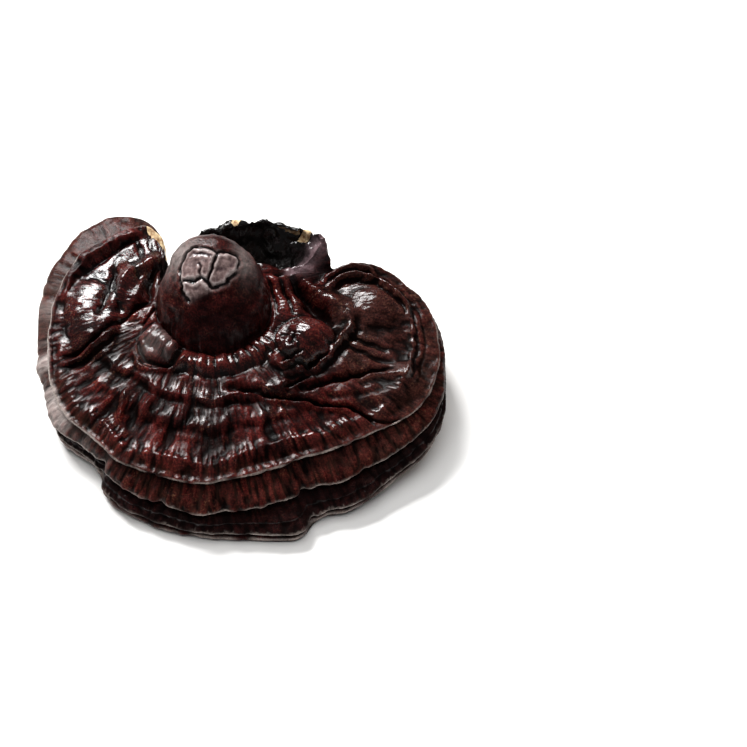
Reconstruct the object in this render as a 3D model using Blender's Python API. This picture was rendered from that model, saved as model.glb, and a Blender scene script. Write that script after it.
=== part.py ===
"""A dried reishi mushroom, one lacquered woody cap with the stub of its cut stem.

The cap lies as it rests on a table: pore face down on a flat sole, rounded boss up, stem stub
at the back (+Y). It is lofted from rings. They run down over the boss, out over the cap, down
the terraced margin and in again under the pore face to the flat sole.
Lengths below are millimetres, MM turns them to metres, and +Z is up.
"""

import math

import bmesh
import bpy
import numpy as np

MM = 0.001
COLUMNS = 96            # points in every ring
CURVE_STEPS = 24        # curve points between two stations, before even spacing

# The rounded boss where the stem met the cap. Its foot is an oval, flatter towards the stem.
BOSS_CENTRE = np.array([-8.8, 20.5])
BOSS_RADII = np.array([18.5, 15.5])
BOSS_FLATTER = 2.0                      # how much nearer the back of the foot is, and further the front
BOSS_HEIGHT = 19.0
BOSS_LEAN = np.array([-1.3, 10.0])     # how far its top leans from its foot
BOSS_ROWS = (0.08, 0.24, 0.42, 0.6, 0.76, 0.88, 0.96)
BOSS_FULLNESS = 1.85                    # 2 is a hemisphere, more has steeper sides

# The foot of the boss, where the cap begins, is highest towards the stem.
FOOT_HEIGHT = 25.5
FOOT_TILT = 1.5

# Stations round the upper rim, anticlockwise seen from above, starting at the right:
# x, y and height of the upper rim, angle on the boss's foot that the ray comes from (degrees),
# height of the middle layer and how far it stands out past the upper rim, the same two values
# of the lowest layer, and the share of the way back along the ray where the flat sole begins.
STATIONS = (
    # right lobe, curling back to the stem
    (62.0, 13.0, 21.0, 357, 16.4, 1.7, 10.0, 2.0, 0.50),
    (57.5, 24.0, 22.5, 368, 17.7, 1.4, 11.0, 1.7, 0.50),
    (50.0, 32.0, 24.0, 376, 19.0, 1.2, 12.0, 1.3, 0.50),
    (41.5, 36.8, 25.3, 382, 19.7, 1.0, 12.0, 1.0, 0.52),
    (35.0, 37.2, 25.5, 387, 19.4, 0.7, 11.0, 0.6, 0.55),
    (30.6, 35.2, 24.9, 398, 18.4, 0.4, 10.0, 0.3, 0.55),
    # right notch, then the stem stub
    (28.4, 35.8, 26.0, 409, 19.0, 0.2, 10.0, 0.0, 0.57),
    (27.6, 39.4, 29.5, 415, 20.9, 0.4, 9.0, -0.5, 0.60),
    (23.0, 44.0, 32.5, 421, 22.2, 0.8, 8.0, -1.0, 0.62),
    (12.0, 47.5, 33.0, 435, 22.0, 1.0, 7.0, -1.5, 0.75),
    (-2.0, 48.7, 32.5, 450, 21.8, 1.0, 7.0, -1.5, 0.75),
    (-13.0, 46.0, 31.0, 464, 21.0, 0.8, 7.0, -1.0, 0.75),
    (-19.0, 39.5, 28.5, 475, 19.2, 0.3, 7.0, 0.0, 0.60),
    # left notch and the broken end of the left lobe
    (-21.8, 34.0, 26.0, 496, 18.0, 0.1, 7.0, 0.0, 0.60),
    (-25.0, 39.0, 26.0, 515, 18.7, 0.3, 8.0, 0.2, 0.60),
    (-26.5, 46.0, 26.3, 522, 20.5, 0.7, 9.0, 0.7, 0.60),
    (-31.5, 50.6, 27.0, 526, 23.5, 3.6, 10.0, 2.5, 0.55),
    (-38.0, 49.3, 26.8, 528, 24.5, 8.6, 9.5, 5.5, 0.52),
    (-46.0, 45.6, 25.5, 531, 23.5, 8.8, 8.5, 6.5, 0.48),
    (-52.3, 40.5, 24.5, 534, 22.0, 7.2, 7.5, 6.0, 0.44),
    (-57.0, 32.5, 23.0, 538, 19.5, 6.3, 6.5, 5.2, 0.40),
    (-60.0, 24.0, 21.3, 543, 16.0, 6.0, 5.5, 4.4, 0.35),
    # left side, down to the step in the margin
    (-60.9, 12.0, 19.2, 551, 12.8, 4.6, 5.0, 2.8, 0.28),
    (-59.5, -2.5, 17.3, 561, 11.0, 3.0, 4.0, 1.8, 0.25),
    (-53.5, -15.5, 16.3, 574, 10.0, 2.6, 2.5, 2.6, 0.20),
    (-44.0, -24.5, 16.0, 589, 9.5, 1.8, 2.0, 2.0, 0.16),
    # front, where the layers spread like steps
    (-36.0, -32.0, 16.0, 598, 9.7, 4.2, 1.2, 7.2, 0.20),
    (-24.0, -37.3, 16.0, 612, 9.6, 5.2, 1.0, 9.0, 0.26),
    (-11.0, -40.0, 16.0, 626, 9.7, 7.0, 1.0, 10.5, 0.28),
    (1.0, -38.0, 17.0, 638, 10.3, 8.0, 1.0, 14.0, 0.36),
    (12.0, -34.5, 17.0, 650, 10.3, 8.6, 1.0, 18.2, 0.42),
    (21.0, -31.0, 17.0, 659, 10.5, 7.2, 1.5, 13.6, 0.38),
    (30.0, -27.5, 17.0, 668, 10.9, 8.5, 2.5, 14.8, 0.42),
    # right side, lifted off the table
    (41.5, -22.0, 17.0, 680, 11.8, 7.3, 4.5, 12.6, 0.45),
    (52.5, -16.0, 17.5, 691, 13.1, 5.6, 7.0, 9.3, 0.50),
    (59.5, -8.0, 18.2, 700, 14.1, 3.6, 8.5, 5.3, 0.52),
    (62.3, 2.5, 19.5, 708, 15.3, 2.2, 9.5, 2.9, 0.52),
)
ANGLE_COLUMN = 3        # the station value that goes on turning round the boss

# Growth ridges on the cap: share of the way from boss to rim, height, half width in shares.
GROWTH_RIDGES = ((0.1, 1.2, 0.06), (0.36, 1.3, 0.08), (0.56, 1.0, 0.07), (0.84, 2.0, 0.1))
CAP_ROWS = (0.04, 0.1, 0.17, 0.25, 0.33, 0.43, 0.54, 0.64, 0.74, 0.83, 0.91, 0.965)

# The stub: between these ray angles the surface dips behind the boss and has no growth ridges.
STUB_FROM, STUB_TO, STUB_FADE = 392.0, 526.0, 14.0
STUB_DIP = 4.5

# Lumps beside the boss: x, y, radius, height.
LUMPS = ((19.5, 5.0, 10.0, 4.5), (-26.0, 5.5, 8.0, 3.0))

# The terraced margin, as a section. Each row gives its level, where 0 is the upper rim, 1 the
# middle layer and 2 the lowest, the share of the middle and of the lowest spread, and the
# distance in or out of that line. Lips stand out, and the grooves between layers go in.
MARGIN_ROWS = (
    (0.0, 0.0, 0.0, -0.7),
    (0.14, 0.0, 0.0, 0.0),
    (0.36, 0.05, 0.0, -0.8),
    (0.55, 0.35, 0.0, -0.3),
    (0.84, 0.9, 0.0, 0.0),
    (1.03, 1.0, 0.0, -0.3),
    (1.17, 0.8, 0.2, -0.8),
    (1.31, 0.45, 0.55, -0.1),
    (1.52, 0.0, 0.97, 0.0),
    (1.66, 0.0, 1.0, -0.5),
    (1.79, 0.0, 0.97, -0.7),
    (2.0, 0.0, 1.0, 0.0),
)
LONG_RAY = 30.0         # lips and grooves shrink where a ray is shorter, beside the notches
LIP_RADIUS = 1.6        # the rounded edge under the lowest layer
SOLE_ROWS = (0.0, 0.35, 0.7, 1.0)

SKIN = (0.075, 0.022, 0.018, 1.0)


def turned(station, turns):
    """The station as met after some whole turns round the boss."""
    moved = np.array(station, float)
    moved[ANGLE_COLUMN] += 360.0 * turns
    return moved


def closed_curve(stations, count):
    """Smooth closed curve through the stations, as count points evenly spaced in plan."""
    total = len(stations)
    points = []
    for i in range(total):
        near = [turned(stations[(i + k) % total], (i + k) // total) for k in (-1, 0, 1, 2)]
        before, start, end, after = near
        for s in np.arange(CURVE_STEPS) / CURVE_STEPS:
            straight = 2 * start + (end - before) * s
            bend = (2 * before - 5 * start + 4 * end - after) * s**2
            twist = (3 * start - before - 3 * end + after) * s**3
            points.append(0.5 * (straight + bend + twist))
    points.append(turned(stations[0], 1))
    points = np.array(points)
    steps = np.hypot(*np.diff(points[:, :2], axis=0).T)
    travelled = np.concatenate([[0.0], np.cumsum(steps)])
    wanted = np.arange(count) / count * travelled[-1]
    return np.column_stack([np.interp(wanted, travelled, values) for values in points.T])


def smooth_step(low, high, value):
    """0 below low, 1 above high, and an S curve between."""
    share = np.clip((value - low) / (high - low), 0.0, 1.0)
    return share * share * (3.0 - 2.0 * share)


def outward(rim):
    """Unit vectors pointing out of the rim in plan, softened over neighbouring columns."""
    along = np.roll(rim, -1, axis=0) - np.roll(rim, 1, axis=0)
    out = np.column_stack([along[:, 1], -along[:, 0]])
    out = out + np.roll(out, 1, axis=0) + np.roll(out, -1, axis=0)
    return out / np.hypot(*out.T)[:, None]


def ring(plan, height):
    """One ring of points, from its plan and its heights."""
    return np.column_stack([plan, np.broadcast_to(height, len(plan))])


class Cap:
    """The values that every ring is worked out from, one per column."""

    def __init__(self):
        curve = closed_curve(STATIONS, COLUMNS)
        self.rim = curve[:, :2]
        self.rim_height, self.ray_angle = curve[:, 2], curve[:, 3]
        self.middle_height, self.middle, self.low_height, self.low, self.tuck = curve[:, 4:].T
        self.out = outward(self.rim)
        turn = np.radians(self.ray_angle)
        self.spoke = np.column_stack([np.cos(turn), np.sin(turn)])
        flatter = np.array([0.0, BOSS_FLATTER])
        self.reach = self.spoke * (BOSS_RADII - flatter * self.spoke[:, 1:])
        self.foot = BOSS_CENTRE + self.reach
        self.foot_height = FOOT_HEIGHT + FOOT_TILT * self.spoke[:, 1]
        rise = smooth_step(STUB_FROM, STUB_FROM + STUB_FADE, self.ray_angle)
        fall = smooth_step(STUB_TO - STUB_FADE, STUB_TO, self.ray_angle)
        self.stub = rise * (1.0 - fall)
        ray_length = np.hypot(*(self.rim - self.foot).T)
        self.relief = np.minimum(ray_length / LONG_RAY, 1.0) * (1.0 - self.stub)

    def boss_rings(self):
        for share in BOSS_ROWS:
            dome = (1.0 - share**BOSS_FULLNESS) ** (1.0 / BOSS_FULLNESS)
            plan = BOSS_CENTRE + BOSS_LEAN * dome + self.reach * share
            tilt = FOOT_TILT * self.spoke[:, 1] * share
            yield ring(plan, FOOT_HEIGHT + tilt + BOSS_HEIGHT * dome)

    def cap_rings(self):
        yield ring(self.foot, self.foot_height)
        for share in CAP_ROWS:
            plan = self.foot + (self.rim - self.foot) * share
            height = self.foot_height + (self.rim_height - self.foot_height) * share**1.3
            for place, rise, width in GROWTH_RIDGES:
                bump = rise * math.exp(-((share - place) / width) ** 2)
                height = height + bump * self.relief
            height = height - self.stub * STUB_DIP * math.sin(math.pi * share) ** 2
            for x, y, radius, rise in LUMPS:
                near = np.hypot(plan[:, 0] - x, plan[:, 1] - y) / radius
                height = height + rise * np.clip(1.0 - near**2, 0.0, 1.0)
            yield ring(plan, height)

    def margin_rings(self):
        upper_drop = self.rim_height - self.middle_height
        lower_drop = self.middle_height - self.low_height
        for level, middle_share, low_share, proud in MARGIN_ROWS:
            reach = self.middle * middle_share + self.low * low_share
            reach = reach + proud * self.relief
            height = self.rim_height - upper_drop * min(level, 1.0)
            height = height - lower_drop * max(level - 1.0, 0.0)
            yield ring(self.rim + self.out * reach[:, None], height)

    def sole_rings(self):
        radius = np.minimum(LIP_RADIUS, self.low_height)
        edge = self.rim + self.out * (self.low - radius)[:, None]
        edge_height = self.low_height - radius
        sole = self.rim + (self.foot - self.rim) * self.tuck[:, None]
        for share in SOLE_ROWS:
            height = edge_height * (1.0 - smooth_step(0.0, 1.0, share))
            yield ring(edge + (sole - edge) * share, height)

    def rings(self):
        found = [*self.boss_rings(), *self.cap_rings(), *self.margin_rings(), *self.sole_rings()]
        return np.array(found)


def centred(rings):
    """The rings with the middle of their box over the origin, and the sole at height 0."""
    points = rings.reshape(-1, 3)
    middle = (points.min(axis=0) + points.max(axis=0)) / 2.0
    return rings - np.array([middle[0], middle[1], points[:, 2].min()])


def loft(rings):
    """A closed mesh through the rings: a strip spun into a tube, laid on them, both ends filled."""
    rows = len(rings)
    bm = bmesh.new()
    strip = [bm.verts.new((1.0, 0.0, float(row))) for row in range(rows)]
    edges = [bm.edges.new(pair) for pair in zip(strip, strip[1:])]
    bmesh.ops.spin(
        bm,
        geom=strip + edges,
        cent=(0.0, 0.0, 0.0),
        axis=(0.0, 0.0, 1.0),
        angle=math.tau,
        steps=COLUMNS,
        use_merge=True,
    )
    for vert in bm.verts:
        turn = math.atan2(vert.co.y, vert.co.x) / math.tau
        column = round(turn * COLUMNS) % COLUMNS
        vert.co = rings[round(vert.co.z), column] * MM
    ends = [edge for edge in bm.edges if edge.is_boundary]
    bmesh.ops.holes_fill(bm, edges=ends, sides=0)
    bmesh.ops.recalc_face_normals(bm, faces=bm.faces)
    return bm


def lacquered_skin():
    material = bpy.data.materials.new("lacquered_skin")
    material.use_nodes = True
    shader = material.node_tree.nodes["Principled BSDF"]
    shader.inputs["Base Color"].default_value = SKIN
    shader.inputs["Roughness"].default_value = 0.32
    shader.inputs["Metallic"].default_value = 0.0
    return material


def reishi():
    bm = loft(centred(Cap().rings()))
    mesh = bpy.data.meshes.new("reishi_mushroom")
    bm.to_mesh(mesh)
    bm.free()
    mesh.materials.append(lacquered_skin())
    mesh.shade_smooth()
    cap = bpy.data.objects.new("reishi_mushroom", mesh)
    bpy.context.scene.collection.objects.link(cap)
    return cap


def main():
    for old in list(bpy.data.objects):
        bpy.data.objects.remove(old)
    reishi()


main()
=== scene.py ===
import math

import bmesh
import bpy
import numpy as np
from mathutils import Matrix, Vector


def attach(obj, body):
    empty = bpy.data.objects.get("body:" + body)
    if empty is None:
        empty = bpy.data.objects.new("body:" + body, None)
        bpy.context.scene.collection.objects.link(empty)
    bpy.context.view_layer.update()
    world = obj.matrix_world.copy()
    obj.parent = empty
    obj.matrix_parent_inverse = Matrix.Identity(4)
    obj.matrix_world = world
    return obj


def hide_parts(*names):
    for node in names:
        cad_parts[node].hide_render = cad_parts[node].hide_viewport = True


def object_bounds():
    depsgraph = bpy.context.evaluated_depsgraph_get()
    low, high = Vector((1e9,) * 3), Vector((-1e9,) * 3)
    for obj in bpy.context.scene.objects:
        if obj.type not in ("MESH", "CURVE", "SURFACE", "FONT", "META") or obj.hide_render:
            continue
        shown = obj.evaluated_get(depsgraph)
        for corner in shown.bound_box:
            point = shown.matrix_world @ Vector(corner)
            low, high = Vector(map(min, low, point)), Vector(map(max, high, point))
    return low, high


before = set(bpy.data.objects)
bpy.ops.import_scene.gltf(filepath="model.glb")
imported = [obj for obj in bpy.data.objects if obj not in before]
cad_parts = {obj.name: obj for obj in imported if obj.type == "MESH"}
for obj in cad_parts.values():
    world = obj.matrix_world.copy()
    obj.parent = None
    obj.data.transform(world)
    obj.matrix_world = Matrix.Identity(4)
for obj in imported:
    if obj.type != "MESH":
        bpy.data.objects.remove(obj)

cadLow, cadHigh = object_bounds()
mm = 0.001


# small helpers

def linearColour(hexCode):
    parts = [int(hexCode[i:i + 2], 16) / 255 for i in (1, 3, 5)]
    return tuple([p / 12.92 if p <= 0.04045 else ((p + 0.055) / 1.055) ** 2.4 for p in parts] + [1.0])


def easeStep(low, high, value):
    share = np.clip((value - low) / (high - low), 0.0, 1.0)
    return share * share * (3.0 - 2.0 * share)


def between(values, low, high, fade):  # 1 from low to high, fading outside them
    return easeStep(low - fade, low + fade, values) * (1.0 - easeStep(high - fade, high + fade, values))


def keyed(keys, values):  # straight lines between given keys
    places, heights = np.array(keys, float).T
    return np.interp(values, places, heights)


def sampledPath(path, gap):  # a smooth open curve through a few points, evenly sampled
    points = np.array(path, float)
    padded = np.vstack([2 * points[0] - points[1], points, 2 * points[-1] - points[-2]])
    found = []
    for a, b, c, d in zip(padded, padded[1:], padded[2:], padded[3:]):
        s = np.linspace(0, 1, 24, endpoint=False)[:, None]
        bend = (2 * a - 5 * b + 4 * c - d) * s**2
        twist = (3 * b - a - 3 * c + d) * s**3
        found.append(0.5 * (2 * b + (c - a) * s + bend + twist))
    found = np.vstack(found + [points[-1:]])
    travelled = np.concatenate([[0], np.cumsum(np.hypot(*np.diff(found, axis=0).T))])
    wanted = np.linspace(0, travelled[-1], max(int(travelled[-1] / gap), 2) + 1)
    return np.column_stack([np.interp(wanted, travelled, v) for v in found.T]), wanted


dice = np.random.default_rng(11)
shuffled = np.tile(dice.permutation(256), 3)
slopes = dice.normal(size=(256, 3))
slopes /= np.linalg.norm(slopes, axis=1)[:, None]


def softNoise(x, y, z):  # gradient noise, about -0.6 to 0.6, one lump per unit
    point = np.stack(np.broadcast_arrays(x, y, z), axis=-1)
    cell = np.floor(point).astype(int)
    part = point - cell
    cell &= 255
    fade = part * part * part * (part * (part * 6 - 15) + 10)
    total = np.zeros(point.shape[:-1])
    for i in (0, 1):
        for j in (0, 1):
            for k in (0, 1):
                pick = shuffled[shuffled[shuffled[cell[..., 0] + i] + cell[..., 1] + j] + cell[..., 2] + k]
                lean = (slopes[pick] * (part - (i, j, k))).sum(axis=-1)
                total += lean * np.abs((1 - i, 1 - j, 1 - k) - fade).prod(axis=-1)
    return total


# the mushroom's form, in millimetres

reishi = {
    "columns": 1200,
    "bossRows": 76,
    "capRows": 140,
    "marginRows": 132,
    "lipRows": 8,
    "undersideRows": 26,
    "soleRows": 10,
    "triangles": 190000,
    "growthRings": 5,                   # the first ones in the list, which wander and fade at the rim
    "ringStrength": 0.75,
    "softEdge": 0.9,                    # eases the margin in where it would pass the solid's box
    "shift": (0.30, -2.51),             # moves the middle of its box over the origin
    "bossCentre": (-8.8, 20.5),
    "bossRadii": (18.5, 15.5),
    "bossFlatter": 2.0,
    "bossHeight": 19.3,
    "bossLean": (-1.3, 10.5),
    "bossFullness": 1.8,
    "footHeight": 25.5,
    "footTilt": 1.5,
    "stubAngles": (392.0, 526.0, 14.0),
    "stubDip": 4.0,
    "lipRadius": 1.6,
    "longRay": 30.0,
    "stations": (
        (62.0, 13.0, 21.0, 357, 16.4, 1.7, 10.0, 2.0, 0.50),
        (57.5, 24.0, 22.5, 368, 17.7, 1.4, 11.0, 1.7, 0.50),
        (50.0, 32.0, 24.0, 376, 19.0, 1.2, 12.0, 1.3, 0.50),
        (41.5, 36.8, 25.3, 382, 19.7, 1.0, 12.0, 1.0, 0.52),
        (35.0, 37.2, 25.5, 387, 19.4, 0.7, 11.0, 0.6, 0.55),
        (30.6, 35.2, 24.9, 398, 18.4, 0.4, 10.0, 0.3, 0.55),
        (28.4, 35.8, 26.0, 409, 19.0, 0.2, 10.0, 0.0, 0.57),
        (27.6, 39.4, 29.5, 415, 20.9, 0.4, 9.0, -0.5, 0.60),
        (23.0, 44.0, 32.5, 421, 22.2, 0.8, 8.0, -1.0, 0.62),
        (12.0, 47.5, 33.0, 435, 22.0, 1.0, 7.0, -1.5, 0.75),
        (-2.0, 48.7, 32.5, 450, 21.8, 1.0, 7.0, -1.5, 0.75),
        (-13.0, 46.0, 31.0, 464, 21.0, 0.8, 7.0, -1.0, 0.75),
        (-19.0, 39.5, 28.5, 475, 19.2, 0.3, 7.0, 0.0, 0.60),
        (-21.8, 34.0, 26.0, 496, 18.0, 0.1, 7.0, 0.0, 0.60),
        (-25.0, 39.0, 26.0, 515, 18.7, 0.3, 8.0, 0.2, 0.60),
        (-26.5, 46.0, 26.3, 522, 20.5, 0.7, 9.0, 0.7, 0.60),
        (-31.5, 50.6, 27.0, 526, 23.5, 3.6, 10.0, 2.5, 0.55),
        (-38.0, 49.3, 26.8, 528, 24.5, 8.6, 9.5, 5.5, 0.52),
        (-46.0, 45.6, 25.5, 531, 23.5, 8.8, 8.5, 6.5, 0.48),
        (-52.3, 40.5, 24.5, 534, 22.0, 7.2, 7.5, 6.0, 0.44),
        (-57.0, 32.5, 23.0, 538, 19.5, 6.3, 6.5, 5.2, 0.40),
        (-60.0, 24.0, 21.3, 543, 16.0, 6.0, 5.5, 4.4, 0.35),
        (-60.9, 12.0, 19.2, 551, 12.8, 4.6, 5.0, 2.8, 0.28),
        (-59.5, -2.5, 17.3, 561, 11.0, 3.0, 4.0, 1.8, 0.25),
        (-53.5, -15.5, 16.3, 574, 10.0, 2.6, 2.5, 2.6, 0.20),
        (-44.0, -24.5, 16.0, 589, 9.5, 1.8, 2.0, 2.0, 0.16),
        (-36.0, -32.0, 16.0, 598, 9.7, 4.2, 1.2, 7.2, 0.20),
        (-24.0, -37.3, 16.0, 612, 9.6, 5.2, 1.0, 9.0, 0.26),
        (-11.0, -40.0, 16.0, 626, 9.7, 7.0, 1.0, 10.5, 0.28),
        (1.0, -38.0, 17.0, 638, 10.3, 8.0, 1.0, 14.0, 0.36),
        (12.0, -34.5, 17.0, 650, 10.3, 8.6, 1.0, 18.2, 0.42),
        (21.0, -31.0, 17.0, 659, 10.5, 7.2, 1.5, 13.6, 0.38),
        (30.0, -27.5, 17.0, 668, 10.9, 8.5, 2.5, 14.8, 0.42),
        (41.5, -22.0, 17.0, 680, 11.8, 7.3, 4.5, 12.6, 0.45),
        (52.5, -16.0, 17.5, 691, 13.1, 5.6, 7.0, 9.3, 0.50),
        (59.5, -8.0, 18.2, 700, 14.1, 3.6, 8.5, 5.3, 0.52),
        (62.3, 2.5, 19.5, 708, 15.3, 2.2, 9.5, 2.9, 0.52),
    ),
    # level (0 upper rim, 1 middle layer, 2 lowest), share of the middle and low spread, proud
    "marginKeys": (
        (0.0, 0.0, 0.0, 0.0), (0.04, 0.0, 0.0, 0.5), (0.09, 0.0, 0.0, 0.5), (0.14, 0.0, 0.0, -0.2),
        (0.2, 0.02, 0.0, -1.5), (0.3, 0.1, 0.0, -1.6), (0.42, 0.3, 0.0, -0.8), (0.58, 0.62, 0.0, 0.1),
        (0.75, 0.86, 0.0, 0.4), (0.88, 0.97, 0.0, 0.35), (0.97, 1.0, 0.0, 0.6), (1.03, 1.0, 0.0, 0.5),
        (1.08, 0.97, 0.03, -0.6), (1.14, 0.88, 0.08, -2.2), (1.24, 0.66, 0.30, -2.2), (1.3, 0.5, 0.5, -0.6),
        (1.36, 0.4, 0.62, -0.2), (1.42, 0.3, 0.7, -0.8), (1.52, 0.12, 0.9, -0.3),
        (1.6, 0.02, 0.985, 0.5), (1.65, 0.0, 1.0, 0.3), (1.7, 0.0, 0.99, -0.9), (1.77, 0.0, 0.97, -1.0),
        (1.85, 0.0, 1.0, -0.3), (1.92, 0.0, 1.0, 0.3), (1.98, 0.0, 1.0, 0.2), (2.0, 0.0, 1.0, 0.0),
    ),
}


def turned(station, turns):
    moved = np.array(station, float)
    moved[3] += 360.0 * turns
    return moved


def closedCurve(stations, count):
    total = len(stations)
    points = []
    for i in range(total):
        near = [i - 1, i, i + 1, i + 2]
        before, start, end, after = [turned(stations[k % total], k // total) for k in near]
        for s in np.arange(40) / 40:
            bend = (2 * before - 5 * start + 4 * end - after) * s**2
            twist = (3 * start - before - 3 * end + after) * s**3
            points.append(0.5 * (2 * start + (end - before) * s + bend + twist))
    points.append(turned(stations[0], 1))
    points = np.array(points)
    travelled = np.concatenate([[0.0], np.cumsum(np.hypot(*np.diff(points[:, :2], axis=0).T))])
    wanted = np.arange(count) / count * travelled[-1]
    return np.column_stack([np.interp(wanted, travelled, v) for v in points.T]), travelled[-1]


curve, rimLength = closedCurve(reishi["stations"], reishi["columns"])
rim = curve[:, :2]
rimHeight, ray, middleHeight, middle, lowHeight, low, tuck = curve[:, 2:].T
columns = reishi["columns"]
turnAngle = np.arange(columns) / columns * math.tau
along = np.roll(rim, -6, axis=0) - np.roll(rim, 6, axis=0)
outDirection = np.column_stack([along[:, 1], -along[:, 0]])
for _ in range(8):
    outDirection = outDirection + np.roll(outDirection, 3, axis=0) + np.roll(outDirection, -3, axis=0)
    outDirection /= np.hypot(*outDirection.T)[:, None]
spoke = np.column_stack([np.cos(np.radians(ray)), np.sin(np.radians(ray))])
reach = spoke * (np.array(reishi["bossRadii"]) - np.array([0.0, reishi["bossFlatter"]]) * spoke[:, 1:])
foot = np.array(reishi["bossCentre"]) + reach
footHeight = reishi["footHeight"] + reishi["footTilt"] * spoke[:, 1]
stubFrom, stubTo, stubFade = reishi["stubAngles"]
stub = easeStep(stubFrom, stubFrom + stubFade, ray) * (1 - easeStep(stubTo - stubFade, stubTo, ray))
rayLength = np.hypot(*(rim - foot).T)
relief = np.minimum(rayLength / reishi["longRay"], 1.0) * (1.0 - stub)
rimRadius = rimLength / math.tau
print("form: rim", round(rimLength), "mm")

# rows from the top of the boss to the middle of the sole

bossShare = np.sin(np.linspace(0, 1, reishi["bossRows"]) * math.pi / 2)
dome = (1 - bossShare ** reishi["bossFullness"]) ** (1 / reishi["bossFullness"])
bossPlan = (
    np.array(reishi["bossCentre"]) + np.array(reishi["bossLean"]) * dome[:, None, None]
    + reach * bossShare[:, None, None]
)
bossUp = (
    reishi["footHeight"] + reishi["footTilt"] * spoke[:, 1] * bossShare[:, None]
    + reishi["bossHeight"] * dome[:, None]
)

capShare = np.linspace(0, 1, reishi["capRows"] + 1)[1:]
capPlan = foot + (rim - foot) * capShare[:, None, None]
capUp = footHeight + (rimHeight - footHeight) * capShare[:, None] ** 1.3
capUp = capUp - stub * reishi["stubDip"] * np.sin(math.pi * capShare[:, None]) ** 2

level = np.linspace(0, 2, reishi["marginRows"] + 1)[1:]
keys = np.array(reishi["marginKeys"]).T
middleShare, lowShare, proud = [np.interp(level, keys[0], keys[i]) for i in (1, 2, 3)]
marginReach = middle * middleShare[:, None] + low * lowShare[:, None] + relief * proud[:, None]
marginUp = (
    rimHeight - (rimHeight - middleHeight) * np.minimum(level, 1)[:, None]
    - (middleHeight - lowHeight) * np.maximum(level - 1, 0)[:, None]
)
marginPlan = rim + outDirection * marginReach[:, :, None]

bend = np.linspace(0, math.pi / 2, reishi["lipRows"] + 1)[1:, None]
lipRadius = np.minimum(reishi["lipRadius"], lowHeight)
lipPlan = rim + outDirection * (low - lipRadius * (1 - np.cos(bend)))[:, :, None]
lipUp = lowHeight - lipRadius * np.sin(bend)

underShare = np.linspace(0, 1, reishi["undersideRows"] + 1)[1:, None]
solePlan = rim + (foot - rim) * tuck[:, None]
underPlan = lipPlan[-1] + (solePlan - lipPlan[-1]) * underShare[:, :, None]
underUp = lipUp[-1] * (1 - easeStep(0, 1, underShare))

soleShare = np.linspace(0, 1, reishi["soleRows"] + 1)[1:, None, None]
soleMiddle = solePlan.mean(axis=0)
innerPlan = solePlan + (soleMiddle - solePlan) * soleShare
innerUp = np.zeros((reishi["soleRows"], columns))

plan = np.concatenate([bossPlan, capPlan, marginPlan, lipPlan, underPlan, innerPlan])
up = np.concatenate([bossUp, capUp, marginUp, lipUp, underUp, innerUp])
rows = len(plan)
capFrom = reishi["bossRows"]
marginFrom = capFrom + reishi["capRows"]
lipFrom = marginFrom + reishi["marginRows"]
underFrom = lipFrom + reishi["lipRows"]
upperRows = slice(capFrom, marginFrom + 10)       # the cap and the very edge of its rim
print("rows", rows, "columns", columns)

# where each point is, for growth bands and streaks

share = np.zeros((rows, columns))       # 0 at the boss's foot, 1 at the rim
share[:capFrom] = (bossShare[:, None] - 1) * 20 / rayLength
share[capFrom:marginFrom] = capShare[:, None]
share[marginFrom:] = 1 + (np.arange(rows - marginFrom)[:, None] + 1) * 0.25 / rayLength
levels = np.full((rows, columns), -1.0)
levels[marginFrom:lipFrom] = level[:, None]
levels[lipFrom:] = 2.0
radial = share * rayLength
rayGrid = np.broadcast_to(ray, (rows, columns))
isBoss = (np.arange(rows) < capFrom)[:, None] * 1.0
isTop = (np.arange(rows) < marginFrom)[:, None] * 1.0
isUnder = (np.arange(rows) >= underFrom)[:, None] * 1.0
stubGrid = np.broadcast_to(stub, (rows, columns))


def streaks(radius, across, lengthwise, offset):  # noise stretched along the rays
    x = np.cos(turnAngle) * radius / across
    y = np.sin(turnAngle) * radius / across
    return softNoise(x[None, :] + offset, y[None, :] - offset, radial / lengthwise + offset * 1.7)


def lumps(size, offset):  # rounded noise in place, the same size every way
    return softNoise(plan[..., 0] / size + offset, plan[..., 1] / size - offset, up / size + offset)


# growth rings: how far out each one runs, and how high, by ray angle

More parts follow.
